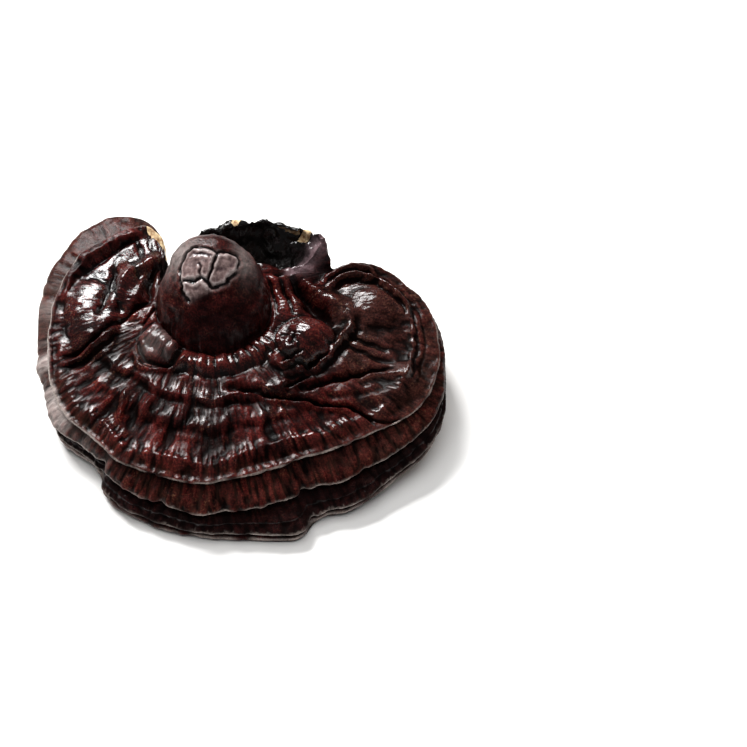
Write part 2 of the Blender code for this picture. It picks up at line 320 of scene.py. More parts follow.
rings = (
    {"share": ((530, 0.09), (600, 0.12), (680, 0.13), (705, 0.08), (750, 0.06)), "inner": 4.6, "outer": 1.5,
     "rise": ((530, 0.0), (560, 0.4), (595, 1.7), (670, 2.0), (690, 1.2), (705, 0.2), (752, 0.0))},
    {"share": ((530, 0.45), (548, 0.44), (560, 0.52), (580, 0.42), (600, 0.37), (640, 0.38), (660, 0.42),
               (680, 0.40), (700, 0.42), (712, 0.47), (752, 0.42)), "inner": 2.7, "outer": 1.3,
     "rise": ((540, 0.0), (553, 0.6), (575, 1.0), (600, 1.3), (620, 1.0), (640, 1.7), (672, 1.2), (690, 1.6),
              (711, 1.4), (722, 0.4), (740, 0.0))},
    {"share": ((560, 0.66), (600, 0.57), (640, 0.58), (660, 0.62), (680, 0.60), (700, 0.78)), "inner": 2.7,
     "outer": 1.4,
     "rise": ((555, 0.0), (575, 0.4), (600, 0.9), (640, 1.1), (665, 0.8), (680, 0.7), (697, 0.7),
              (705, 0.0))},
    {"share": ((580, 0.72), (600, 0.71), (640, 0.71), (665, 0.74)), "inner": 2.6, "outer": 2.6,
     "rise": ((575, 0.0), (595, -0.4), (640, -0.6), (665, -0.3), (675, 0.0))},
    {"beaded": True,
     "share": ((545, 0.90), (575, 0.89), (588, 0.885), (602, 0.88), (615, 0.865), (635, 0.875), (648, 0.845),
               (657, 0.86), (669, 0.895), (678, 0.90), (690, 0.88), (704, 0.855), (712, 0.87), (721, 0.885),
               (731, 0.86), (737, 0.81), (741, 0.78)), "inner": 1.7, "outer": 2.4,
     "rise": ((540, 0.0), (565, 0.5), (585, 1.4), (600, 2.2), (650, 2.3), (672, 1.8), (690, 0.9), (704, 0.4),
              (737, 0.4), (741, 0.0))},
    # the raised upper rim itself, and the groove inside it
    {"share": ((500, 1.0), (860, 1.0)), "inner": 0.9, "outer": 3.0,
     "rise": ((520, 0.3), (530, 0.9), (575, 0.8), (600, 0.3), (740, 0.3), (752, 0.6), (770, 0.0))},
    # the rounded black rim of the cut stem
    {"share": ((760, 0.84), (860, 0.84)), "inner": 2.4, "outer": 2.0,
     "rise": ((768, 0.0), (784, 2.6), (836, 2.8), (850, 0.0))},
    # the right lobe's outer ring, a long slope inside it
    {"share": ((690, 0.87), (704, 0.85), (712, 0.87), (721, 0.885), (731, 0.86), (737, 0.81), (745, 0.78)),
     "inner": 3.6, "outer": 1.6, "rise": ((690, 0.0), (700, 1.8), (728, 2.2), (737, 1.8), (745, 0.0))},
)
turnedRay = np.where(rayGrid < 500, rayGrid + 360, rayGrid)   # the right lobe and stub follow the front
lift = np.zeros((rows, columns))
nearCrest = np.zeros((rows, columns))
wander = streaks(rimRadius, 14, 60, 3.1) * 0.05
for number, ring in enumerate(rings):
    growing = number < reishi["growthRings"]
    place = keyed(ring["share"], turnedRay) + wander * growing
    away = (share - place) * rayLength
    width = np.where(away < 0, ring["inner"], ring["outer"])
    broken = np.clip(1 + streaks(rimRadius, 11, 300, 50.0 + 7 * number) * 1.1, 0.35, 1.6)
    height = reishi["ringStrength"] * keyed(ring["rise"], turnedRay) * np.minimum(rayLength / 25, 1) * broken
    edgeFade = 1 - easeStep(0.95, 1.0, share) * growing
    lift += height * np.exp(-(away / width) ** 2) * edgeFade
    if "beaded" in ring:
        beadedRing = np.exp(-((away + 1.2) / 2.4) ** 2) * (1 - isBoss)
    nearCrest += np.clip(height, 0, 1) * np.exp(-((away + 0.8) / 2.6) ** 2)
    furrow = np.exp(-((away - ring["outer"] * 1.9) / (ring["outer"] * 0.9)) ** 2) * growing
    lift -= 0.5 * np.maximum(height, 0) * furrow * (1 - easeStep(0.93, 0.98, share)) * (1 - isBoss)
print("rings")

# swellings: middle x and y, radii, how high, angle of the long axis, steepness (small is bulbous)

swellings = (
    (20.6, 8.2, 9.6, 8.4, 4.6, 20, 0.6),      # the right knob
    (21.8, 9.4, 7.0, 5.6, 1.4, 25, 1.0),
    (13.4, 2.6, 5.0, 5.6, 2.4, 0, 0.8),
    (22.5, 22.0, 12.0, 7.0, -1.2, -50, 1.2),
    (31.5, 20.0, 7.0, 5.0, 1.8, -35, 1.2),
    (-25.6, 5.8, 7.6, 7.2, 3.2, 25, 0.6),     # the left knob
    (-26.0, 15.5, 4.5, 6.0, 1.4, 0, 1.0),
    (8.5, 30.5, 8.0, 5.0, 2.0, 0, 1.2),       # shoulder under the hollow
    (8.5, 41.6, 16.5, 6.4, -6.0, -4, 0.55),   # the hollow of the cut stem
    (-10.5, 42.0, 7.0, 4.0, -3.0, 25, 0.8),
    (-5.0, 44.4, 5.0, 3.0, 3.2, -10, 1.0),    # glossy knobs high on the hollow's back wall
    (8.6, 45.0, 3.6, 2.6, 3.4, 0, 1.0),
    (44.0, 17.0, 11.0, 14.0, 1.2, 0, 1.2),    # the right lobe's broad back
    (42.5, 22.5, 12.0, 9.0, 2.6, -30, 1.2),
    (51.5, -4.5, 7.0, 7.0, 1.9, 0, 1.2),      # the smooth glossy swelling right of the creases
    (45.0, -10.0, 8.0, 5.0, 1.0, 0, 1.2),
    (-47.5, 17.5, 9.0, 15.5, 2.9, 12, 1.0),   # the left lobe's two backs
    (-36.3, 27.5, 4.2, 11.5, 2.2, 12, 1.0),
    (-41.4, -15.0, 2.6, 6.5, -1.2, -38, 1.4),   # pits between the front folds
    (-33.0, -17.0, 2.0, 6.0, -0.8, -14, 1.4),
    (-21.6, -25.2, 2.6, 5.0, -1.0, -20, 1.4),
    (-45.5, -3.0, 2.6, 7.5, -0.8, -55, 1.4),
    (-15.2, -18.5, 2.0, 5.0, -0.6, -18, 1.4),
    (-2.0, -26.5, 2.4, 5.0, -0.5, 0, 1.4),
    (9.5, -22.5, 2.6, 5.0, -0.5, 12, 1.4),
)
x, y = plan[..., 0], plan[..., 1]


def mound(middleX, middleY, radiusX, radiusY):  # 1 in the middle, fading softly outwards
    return np.exp(-((x - middleX) / radiusX) ** 2 - ((y - middleY) / radiusY) ** 2)


def block(middleX, middleY, radiusX, radiusY):  # the same with a flatter middle
    return np.exp(-((x - middleX) / radiusX) ** 4 - ((y - middleY) / radiusY) ** 4)


for cx, cy, rx, ry, rise, tilt, steep in swellings:
    c, s = math.cos(math.radians(tilt)), math.sin(math.radians(tilt))
    u = ((x - cx) * c + (y - cy) * s) / rx
    v = (-(x - cx) * s + (y - cy) * c) / ry
    near = np.clip(1 - u * u - v * v, 0, 1)
    lift += rise * near ** steep * (1 - isBoss) * isTop

# folds and creases: path, side shift, rise, widths to the left and right of it, taper at the ends

ridgeA = ((27, 27.1), (28.4, 29.1), (30.4, 31.3), (33.5, 32.6), (37, 33), (41.2, 31.4), (45.6, 29.1),
          (48.4, 27), (51.2, 24.5), (53.5, 21.3), (54.9, 18.2))
outerLine = ((51.3, 26.3), (54.0, 20.6), (55.6, 14.4), (55.9, 7.8), (54.9, 1.3), (54.2, -3.2), (51.5, -8.5))
lobeCrest = ((-57.9, 24.0), (-57.7, 28.9), (-55.2, 34.6), (-51.1, 40.4), (-46.4, 44.2), (-40.9, 47.8),
             (-34.9, 49.2), (-29.5, 48.8))
lobeValley = ((-52.9, 32.0), (-48.6, 37.2), (-43.6, 41.0), (-39.4, 44.6), (-35.4, 46.4), (-31.0, 46.8))
lipPath = ((12.0, 33.6), (16.0, 34.2), (20.0, 35.6), (23.2, 38.0), (24.6, 41.4), (24.2, 45.0))
folds = (
    {"path": ((6.8, 31), (7.8, 27.6), (9.2, 23.7), (10.8, 19.1), (10.5, 12)), "rise": 0.8, "left": 0.7,
     "right": 2.4, "taper": 4},
    {"path": ((9.7, 31.5), (11.5, 27.6), (13.3, 23.1), (15.3, 16.0)), "rise": 1.1, "left": 0.9, "right": 3.4,
     "taper": 5},
    {"path": ((7.7, 31.5), (8.9, 27.6), (10.3, 23.1), (11.8, 17.0)), "rise": -1.6, "left": 0.6, "right": 0.7,
     "taper": 5},
    {"path": ((12.1, 30.3), (13.8, 25.3), (16.0, 20.3), (17.4, 17.4)), "rise": -2.4, "left": 0.8,
     "right": 0.7, "taper": 4},
    {"path": ((12.9, 32.9), (14.9, 29.2), (17.4, 25.2), (20.6, 18.4)), "rise": 1.0, "left": 0.7, "right": 2.6,
     "taper": 5},
    {"path": ((13.1, 33.2), (16.3, 31.5), (19, 29.7), (22, 27.7), (25.5, 25.2), (29, 22.4), (32.5, 18.5)),
     "rise": 1.9, "left": 1.8, "right": 2.4, "taper": 6},
    {"path": ((14.4, 31.4), (18.3, 27.0), (22.2, 21.8), (26.2, 17.4), (29.6, 13.6)), "rise": -3.6,
     "left": 1.9, "right": 1.7, "taper": 5},
    {"path": ((2, 38.0), (5.3, 35.5), (9.7, 34.3), (15.3, 34.3)), "rise": 1.8, "left": 1.0, "right": 1.6,
     "taper": 3},
    # the thick lip right of the hollow
    {"path": lipPath, "rise": 2.6, "left": 3.4, "right": 3.0, "taper": 4},
    # the right lobe's inner ridge and the grooves beside it
    {"path": ridgeA, "rise": 1.2, "left": 0.6, "right": 0.7, "taper": 6},
    {"path": ridgeA, "shift": -1.9, "rise": -1.5, "left": 0.7, "right": 0.9, "taper": 6},
    {"path": ridgeA, "shift": 1.5, "rise": -0.8, "left": 0.5, "right": 0.6, "taper": 7},
    {"path": ridgeA, "shift": 2.8, "rise": 0.5, "left": 0.6, "right": 0.6, "taper": 7},
    {"path": outerLine, "rise": -0.8, "left": 0.5, "right": 0.7, "taper": 6},
    {"path": outerLine, "shift": -1.5, "rise": 0.5, "left": 0.6, "right": 0.6, "taper": 8},
    {"path": outerLine, "shift": 2.2, "rise": -0.4, "left": 0.4, "right": 0.4, "taper": 8},
    {"path": ((26.1, 29.1), (28.1, 32.4), (32.9, 34.9), (38.0, 35.6), (43, 34)), "rise": 1.0, "left": 1.1,
     "right": 1.3, "taper": 4},
    # glossy ridge right of the knob, with its groove
    {"path": ((23, -3), (26.6, 1.4), (29.6, 5.2), (32.0, 9.0), (34.8, 13.2)), "rise": 2.0,
     "left": 1.1, "right": 1.2, "taper": 5},
    {"path": ((19, -3.4), (24.5, 1.0), (28.3, 4.8), (30.4, 8.4), (31.6, 13.6)), "rise": -2.2, "left": 1.0,
     "right": 1.0, "taper": 5},
    # folds of the right knob
    {"path": ((13.0, -0.4), (15.6, 0.7), (17.5, 2.1), (20.5, 2.5)), "rise": -1.7, "left": 0.6, "right": 0.5,
     "taper": 3},
    {"path": ((12.8, -1.8), (15.8, -0.6), (17.9, 0.7), (20.8, 1.1)), "rise": 1.1, "left": 0.7, "right": 0.9,
     "taper": 3},
    {"path": ((13.6, -9), (16.8, -7.4), (19, -5.4), (23, -4.2)), "rise": -1.6, "left": 0.6, "right": 0.6,
     "taper": 4},
    {"path": ((13.0, -10), (16.6, -8.6), (19.4, -6.6), (23.4, -5.4)), "rise": 0.9, "left": 0.7, "right": 0.9,
     "taper": 4},
    {"path": ((17.2, 8.6), (16.4, 5.6), (15.4, 3.4)), "rise": -1.4, "left": 0.7, "right": 0.7, "taper": 2},
    # crescent under the left knob
    {"path": ((-32.0, 9.6), (-31.8, 4.6), (-29.3, 0.6), (-24.6, -1.0), (-20.0, 0.2), (-17.4, 4.7)),
     "rise": -1.7, "left": 0.7, "right": 0.6, "taper": 4},
    {"path": ((-33.6, 5.6), (-31.4, -0.4), (-25.4, -2.8), (-19.0, -1.2), (-15.8, 3.4)), "rise": 1.1,
     "left": 0.7, "right": 0.9, "taper": 4},
    # the right crack, wide at its start, and the creases above it
    {"path": ((-6, -9.2), (0, -9.6), (5.2, -10.2), (9.9, -11.2)), "rise": -2.4, "left": 1.5, "right": 1.1,
     "taper": 7},
    {"path": ((5.2, -10.2), (9.9, -11.4), (18, -12.1), (27.6, -13.7), (33.8, -14.1), (37.2, -15.7),
              (41.8, -18)), "rise": -2.2, "left": 0.8, "right": 0.45, "taper": 5},
    {"path": ((5.2, -11.8), (9.9, -12.9), (18, -13.6), (27.6, -15.1), (33.8, -15.6), (37.2, -17.2)),
     "rise": 0.8, "left": 0.5, "right": 0.9, "taper": 5},
    {"path": ((37.2, -15.7), (41.8, -18.2), (46.5, -18.4), (51, -17.0)), "rise": -1.5, "left": 0.5,
     "right": 0.5, "taper": 4},
    {"path": ((36.0, -14.8), (40.0, -17.2), (41.6, -20.4)), "rise": -1.2, "left": 0.5, "right": 0.5,
     "taper": 2},
    {"path": ((18, -9.6), (22, -8.4), (25, -6.8), (35.6, -3.4), (45.6, -1.3), (51, -1.2)), "rise": -2.0,
     "left": 1.1, "right": 0.8, "taper": 8},
    {"path": ((37.4, -3.8), (41.7, -2.6), (46.4, -3.0), (50.3, -3.2)), "rise": 0.9, "left": 0.6, "right": 1.2,
     "taper": 4},
    {"path": ((31, 12), (35.4, 10.2), (42.5, 7.0), (49.6, 4.9)), "rise": -1.0, "left": 0.9, "right": 0.9,
     "taper": 6},
    {"path": ((30, 8), (35.4, 6.2), (42.5, 2.6), (49.6, 1.0)), "rise": -0.9, "left": 1.0, "right": 0.8,
     "taper": 6},
    {"path": ((12, -6.5), (17, -4.5), (24, -2.6)), "rise": -1.2, "left": 1.0, "right": 0.9, "taper": 6},
    # the left crack and the ledge below it
    {"path": ((-27.5, 22.6), (-32.5, 20.7), (-36.7, 17.1), (-40.6, 14.5), (-44.4, 11.5), (-49.0, 7.4),
              (-56.3, 4.6)), "rise": -2.2, "left": 0.9, "right": 0.7, "taper": 5},
    {"path": ((-37.8, 13.6), (-41.2, 10.6), (-45.8, 7.2), (-49.6, 3.9), (-54.3, 2.7), (-58.3, 2.5)),
     "rise": 1.2, "left": 0.7, "right": 1.0, "taper": 5},
    {"path": ((-38.5, 10.6), (-43.3, 6.6), (-47.4, 3.6), (-51.3, 1.7), (-56.5, 1.0)), "rise": -1.0,
     "left": 0.9, "right": 1.2, "taper": 6},
    # the left lobe: rolled rim, the deep valley inside it, and the long flap beside the boss
    {"path": lobeCrest, "shift": -1.0, "rise": 1.3, "left": 1.3, "right": 1.3, "taper": 7},
    {"path": lobeValley, "rise": -2.0, "left": 1.0, "right": 1.2, "taper": 7},
    {"path": ((-23.9, 40.2), (-27.4, 38.3), (-32.1, 35.2), (-36.7, 30.8), (-39.5, 24.3), (-41.5, 17.7)),
     "rise": 2.2, "left": 1.7, "right": 2.8, "taper": 5},
    {"path": ((-25.2, 38.2), (-28.1, 34.6), (-30.7, 30.0), (-31.7, 26.0), (-33.0, 21.8)), "rise": -1.4,
     "left": 1.1, "right": 1.1, "taper": 5},
    {"path": ((-30.3, 32.4), (-31.8, 28.7), (-32.7, 23.7), (-33.7, 20.7)), "rise": 1.9, "left": 1.1,
     "right": 1.1, "taper": 4},
    {"path": ((-27.4, 35.6), (-28.9, 30.8), (-29.4, 26.0), (-28.9, 21.4)), "rise": -2.6, "left": 1.1,
     "right": 1.1, "taper": 4},
    {"path": ((-40.0, 38.0), (-40.9, 34.8), (-41.6, 29.8), (-43.1, 25.0), (-44.5, 20.8), (-46.6, 16.9)),
     "rise": -2.0, "left": 1.2, "right": 1.1, "taper": 5},
    {"path": ((-34.8, 46.4), (-33.4, 43.0), (-32.8, 39.0)), "rise": -1.4, "left": 0.8, "right": 0.8,
     "taper": 3},
    {"path": ((-25.9, 24.4), (-26.9, 20.5), (-29.5, 16.5), (-31.5, 12.5)), "rise": -1.4, "left": 0.6,
     "right": 0.6, "taper": 4},
    # folds running out over the front
    {"path": ((-34.0, -6.5), (-36.4, -13.6), (-37.6, -21.0)), "rise": 1.6, "left": 1.2, "right": 1.2,
     "taper": 6},
    {"path": ((-25.4, -9.0), (-28.9, -15.0), (-30.3, -20.7)), "rise": 1.4, "left": 1.2, "right": 1.2,
     "taper": 6},
)


def besidePath(path, gridPlan, reachOut):
    samples, travelled = sampledPath(path, 0.4)
    lowest, highest = samples.min(axis=0) - reachOut, samples.max(axis=0) + reachOut
    near = ((gridPlan > lowest) & (gridPlan < highest)).all(axis=-1)
    points = gridPlan[near]
    along = np.gradient(samples, axis=0)
    along /= np.hypot(*along.T)[:, None]
    nearest = np.empty(len(points), int)
    for start in range(0, len(points), 4000):
        part = points[start:start + 4000]
        gaps = (part[:, None, 0] - samples[:, 0]) ** 2 + (part[:, None, 1] - samples[:, 1]) ** 2
        nearest[start:start + 4000] = gaps.argmin(axis=1)
    offset = points - samples[nearest]
    aside = along[nearest, 0] * offset[:, 1] - along[nearest, 1] * offset[:, 0]
    onward = travelled[nearest] + (along[nearest] * offset).sum(axis=1)
    return near, aside, onward, travelled[-1]


def foldRelief(fold, gridPlan):
    wide = max(fold["left"], fold["right"])
    shift = fold.get("shift", 0.0)
    near, aside, onward, length = besidePath(fold["path"], gridPlan, 3 * wide + abs(shift))
    away = aside - shift
    width = np.where(away > 0, fold["left"], fold["right"])
    taper = fold["taper"]
    ends = easeStep(-0.5, taper, onward) * (1 - easeStep(length - taper, length + 0.5, onward))
    found = np.zeros(gridPlan.shape[:-1])
    found[near] = fold["rise"] * np.exp(-(away / width) ** 2) * ends
    return found


wavering = np.stack([lumps(4.0, 5.0), lumps(4.0, 9.0)], axis=-1)   # keeps the folds from looking drawn
topPlan = (plan + wavering)[upperRows]
for fold in folds:
    lift[upperRows] += foldRelief(fold, topPlan)
rightKnob = mound(20, 8, 7.5, 6.5) * isTop * (1 - isBoss)
lift += rightKnob * (0.16 * (x - 20) - 0.12 * (y - 8))   # it leans left and back
groove = between(share, -0.02, 0.025, 0.02) * keyed(
    ((500, 0), (560, 0.2), (590, 1.0), (700, 1.2), (735, 0.6), (760, 0.2), (800, 0)), turnedRay)
lift -= groove
print("folds")

# broad radial folds and general unevenness

broad = np.abs(streaks(40, 7.5, 22, 8.2)) * 2.2
broadAmount = keyed(
    ((500, 0.2), (545, 0.7), (575, 1.3), (615, 1.2), (640, 0.8), (700, 0.8), (860, 0.4)), turnedRay)
lift += (broad - 0.5) * 0.35 * broadAmount * between(share, 0.12, 0.93, 0.08) * (1 - stubGrid)
lift += lumps(9.0, 2.0) * 0.9 * between(share, 0.05, 0.95, 0.05)
lift += lumps(12.0, 4.0) * 1.5 * isBoss * (1 - easeStep(-0.1, 0, share))
lift *= np.minimum(rayLength / 12, 1)
up = up + lift * (1 - easeStep(1.0, 1.04, share))

# the margin: wobbling edge, scallops on the left, and dents where the layers are pinched

marginPart = easeStep(0.92, 1.0, share)
scallop = np.abs(streaks(rimRadius, 9.5, 400, 6.0)) * 2 - 0.45
scallopAmount = keyed(
    ((500, 0), (535, 0.5), (550, 1.5), (585, 1.4), (600, 0.5), (700, 0.5), (760, 0.3)), turnedRay)
push = scallop * scallopAmount * easeStep(0.2, 0.7, levels) * (1 - easeStep(1.0, 1.3, levels) * 0.5)
push += streaks(rimRadius, 7, 9, 1.3) * 0.9 * marginPart
push *= np.minimum(rayLength / 30, 1)

dents = (  # x and y beside the rim, half width, depth, first and last level
    (-41.0, -27.5, 2.0, 2.4, 0.15, 2.0),
    (-26.5, -36.5, 1.7, 1.6, -0.2, 0.9),
    (-22.5, -38.0, 1.3, 1.3, 0.2, 1.1),
    (17.5, -32.5, 1.6, 1.6, 0.1, 2.0),
    (-58.5, 27.0, 1.4, 1.2, 0.1, 1.0),
    (-5.0, -39.5, 1.2, 0.8, 0.1, 1.0),
    (36.0, -25.0, 1.4, 0.8, 0.1, 1.2),
)
for dx, dy, halfWidth, depth, first, last in dents:
    column = np.hypot(*(rim - (dx, dy)).T).argmin()
    aside = (np.arange(columns) - column + columns / 2) % columns - columns / 2
    aside = aside * rimLength / columns
    push -= depth * np.exp(-(aside / halfWidth) ** 2) * between(levels, first, last, 0.12) * (levels > -0.5)
plan = plan + outDirection * push[..., None] * (1 - easeStep(1.95, 2.0, levels) * 0.5)[..., None]

# the torn rim of the stub and of the left lobe's broken end

pastRim = np.where(levels < 0, share - 1, levels)     # 0 at the rim, less inside it, more down the margin
torn = between(rayGrid, 414, 486, 5) + between(rayGrid, 517, 524, 2)
rag = streaks(rimRadius, 4.0, 40, 4.4) * 2.2 + np.maximum(streaks(rimRadius, 1.1, 30, 2.4) - 0.12, 0) * 3.0
up = up + torn * rag * between(pastRim, -0.06, 0.25, 0.05)
print("margin")


def wall(gridPlan, gridUp):  # outward unit vectors
    spots = np.concatenate([gridPlan, gridUp[..., None]], axis=-1)
    across = np.roll(spots, -1, axis=1) - np.roll(spots, 1, axis=1)
    down = np.empty_like(spots)
    down[1:-1] = spots[2:] - spots[:-2]
    down[0] = spots[1] - spots[0]
    down[-1] = spots[-1] - spots[-2]
    found = np.cross(down, across)
    length = np.linalg.norm(found, axis=-1, keepdims=True)
    found = np.where(length > 1e-9, found / np.maximum(length, 1e-9), (0, 0, 1.0))
    found[:2] = (0, 0, 1)
    found[-2:] = (0, 0, -1)
    return found


def blurred(values, times, step=1):
    for _ in range(times):
        values = (values + np.roll(values, step, axis=1) + np.roll(values, -step, axis=1)) / 3
        padded = np.concatenate([values[:1], values, values[-1:]])
        values = (padded[:-2] + values + padded[2:]) / 3
    return values


facing = wall(plan, up)
facing = np.stack([blurred(facing[..., i], 4) for i in range(3)], axis=-1)
facing /= np.maximum(np.linalg.norm(facing, axis=-1, keepdims=True), 1e-6)

# fine relief along the surface: ribs in every growth band, wrinkles and cracks

bands = (  # from and to, rib spacing, rib length, rib height
    (-0.03, 0.20, 3.0, 7.0, 0.5),
    (0.20, 0.44, 2.8, 7.0, 0.5),
    (0.44, 0.64, 2.6, 7.0, 0.45),
    (0.64, 0.82, 2.8, 7.0, 0.45),
    (0.82, 1.02, 2.8, 7.0, 0.6),
)
fine = np.zeros((rows, columns))
for index, (first, last, spacing, lengthwise, height) in enumerate(bands):
    middleRadius = 17 + (rimRadius - 17) * np.clip((first + last) / 2, 0, 1)
    weight = between(share, first, last, 0.03)
    rib = np.abs(streaks(middleRadius, spacing * 1.1, lengthwise, 10.0 + 3.7 * index)) * 2.4 - 0.5
    thin = np.abs(streaks(middleRadius, 1.5, 5.0, 12.0 + 3.7 * index)) * 2.4 - 0.5
    fine += weight * (rib * height * (0.35 + 0.9 * nearCrest) + thin * 0.16)
bead = np.abs(np.sin(turnAngle * 14.0 + streaks(17, 12, 400, 61.0) * 9.0)) ** 0.5 - 0.7
beadAmount = keyed(((560, 0), (590, 0.8), (640, 1.2), (680, 1.1), (695, 0.2), (720, 0)), turnedRay)
beadAmount *= 1 - isBoss
fine += bead * 0.75 * beadAmount * between(share, 0.0, 0.17, 0.035)
rimBead = np.abs(np.sin(turnAngle * 62.0 + streaks(rimRadius, 14, 400, 63.0) * 14.0)) ** 0.6 - 0.65
rimBeadAmount = keyed(
    ((575, 0), (592, 0.8), (655, 1.0), (680, 0.6), (705, 0.5), (735, 0.3), (745, 0)), turnedRay)
fine += rimBead * 0.45 * rimBeadAmount * np.clip(beadedRing * 1.2, 0, 1)
ribAmount = keyed(
    ((500, 0.3), (530, 0.4), (552, 0.6), (565, 1.0), (600, 1.0), (650, 1.1), (680, 0.8), (705, 0.6),
     (730, 0.5), (752, 0.4), (770, 0.2), (860, 0.3)), turnedRay)
fine *= ribAmount * (1 - 0.8 * stubGrid)
marginRib = np.abs(streaks(rimRadius, 3.2, 16, 21.0)) * 2.4 - 0.5
marginThin = np.abs(streaks(rimRadius, 1.5, 8, 23.0)) * 2.4 - 0.5
fine += (marginRib * 0.6 + marginThin * 0.2) * between(levels, 0.25, 1.0, 0.08) * keyed(
    ((500, 0.2), (545, 0.3), (570, 0.7), (600, 1.0), (630, 1.2), (680, 0.8), (720, 0.5), (860, 0.4)),
    turnedRay)
fine += (np.abs(streaks(rimRadius, 2.4, 6, 25.0)) * 2.2 - 0.4) * 0.45 * between(levels, 1.15, 1.6, 0.05)
wrinkle = streaks(rimRadius, 1.0, 4.0, 31.0) * 0.16 + lumps(1.3, 12.0) * 0.12 + lumps(2.8, 14.0) * 0.4
fine += wrinkle * (1 - 0.6 * isBoss) * (levels < 1.99) * (1 + 0.8 * stubGrid)
knob = mound(19, 6, 8, 7) + 0.25 * mound(-25.5, 6, 6, 6)
fine += (lumps(3.2, 71.0) * 0.55 + lumps(1.4, 73.0) * 0.1) * knob * (1 - isBoss)
hollowLumps = lumps(5.5, 81.0) * 2.4 + lumps(2.2, 83.0) * 0.6
fine += hollowLumps * stubGrid * (1 - isBoss) * between(pastRim, -0.75, 0.1, 0.1)
bossStreak = lumps(2.2, 17.0) * 0.35 + lumps(6.0, 44.0) * 1.2
fine += bossStreak * isBoss * easeStep(-0.75, -0.5, share * rayLength / 20)
fine -= 1.3 * mound(-24.5, 28, 5, 8) * isBoss   # its flatter left shoulder

# the cracked plates on top of the boss

plates = (
    {"path": ((-13, 29.7), (-15, 29.4), (-16.9, 27.7), (-18.3, 25.2), (-18.8, 22.8), (-18.2, 19.7),
              (-17.4, 16.6), (-15.5, 14.6)), "rise": -0.75, "left": 0.4, "right": 0.4, "taper": 0.5},
    {"path": ((-13, 29.7), (-11.3, 29.2), (-9, 28.7), (-7.2, 27.3), (-5.9, 27.6), (-4.3, 27.8), (-2.1, 28),
              (-0.6, 27.4), (-0.1, 25.3), (-1.1, 23.2)), "rise": -0.7, "left": 0.4, "right": 0.4, "taper": 2},
    {"path": ((-17.6, 20), (-15.5, 19.8), (-13.8, 19.1), (-12.1, 19.9), (-10.4, 18.9), (-8.4, 17.2),
              (-6.2, 17.9), (-4, 18.8), (-2.7, 20.7), (-1.4, 22), (-0.3, 22.9)), "rise": -1.0, "left": 0.5,
     "right": 0.35, "taper": 1},
    {"path": ((-6.3, 27.2), (-7.9, 24.4), (-8.3, 22.4), (-9.5, 20.3), (-9.8, 18.9)), "rise": -0.9,
     "left": 0.4, "right": 0.5, "taper": 1},
    {"path": ((-12.7, 24.4), (-11.8, 23.4), (-12.3, 21.7), (-12.4, 20.1)), "rise": -0.5, "left": 0.35,
     "right": 0.35, "taper": 1},
    {"path": ((-14.2, 27.4), (-11.0, 27.0), (-8.6, 25.6)), "rise": -0.35, "left": 0.4, "right": 0.4,
     "taper": 2},
)
bossTop = plan[:capFrom] + np.stack([lumps(1.8, 5.0), lumps(1.8, 9.0)], axis=-1)[:capFrom] * 0.7
crackDepth = np.zeros((rows, columns))
for plate in plates:
    crackDepth[:capFrom] -= foldRelief(plate, bossTop)
    edge = dict(plate, rise=0.22, shift=0.9, left=0.4, right=0.5)
    fine[:capFrom] += foldRelief(edge, bossTop) + foldRelief(dict(edge, shift=-0.9), bossTop)
crackDepth = np.minimum(crackDepth, 1.1)
outline = np.array([(-13, 29.7), (-16.9, 27.7), (-18.8, 22.8), (-17.4, 16.6), (-15.5, 14.6), (-8.4, 16.4),
                    (-4, 18.6), (-0.3, 22.9), (-0.4, 26.8), (-2.4, 28), (-7.2, 27.8)])


def inside(points, polygon):
    found = np.zeros(points.shape[:-1], bool)
    for (ax, ay), (bx, by) in zip(polygon, np.roll(polygon, -1, axis=0)):
        crosses = (ay > points[..., 1]) != (by > points[..., 1])
        slope = (bx - ax) * (points[..., 1] - ay) / (by - ay if by != ay else 1) + ax
        found ^= crosses & (points[..., 0] < slope)
    return found


plateMask = np.zeros((rows, columns))
plateMask[:capFrom] = inside(bossTop, outline)
plateMask = blurred(plateMask, 3)
fine += plateMask * (0.25 + lumps(4.0, 91.0) * 0.8 + lumps(1.3, 93.0) * 0.22) - crackDepth
fine *= (1 - isUnder) * np.minimum(rayLength / 8, 1)
print("relief")

spots = np.concatenate([plan, up[..., None]], axis=-1)
spots = spots + facing * fine[..., None]
spots[..., :2] += reishi["shift"]
spots[..., 2] += np.abs(lumps(7.0, 3.0)) * 0.35 * isUnder   # the pore face is not quite flat
spots[..., 2] = np.maximum(spots[..., 2], 0.0)
lowCorner = np.array(cadLow) / mm
highCorner = np.array(cadHigh) / mm
softEdge = reishi["softEdge"]
for axis in (0, 1):
    for sign, limit in ((1, highCorner[axis]), (-1, -lowCorner[axis])):
        beyond = np.maximum(sign * spots[..., axis] - (limit - softEdge), 0)
        spots[..., axis] -= sign * (beyond - softEdge * (1 - np.exp(-beyond / softEdge)))
spots = np.clip(spots, lowCorner, highCorner)
spots[0] = spots[0].mean(axis=0)        # both poles stay single points
spots[-1] = spots[-1].mean(axis=0)

# what the finish needs to know at each point

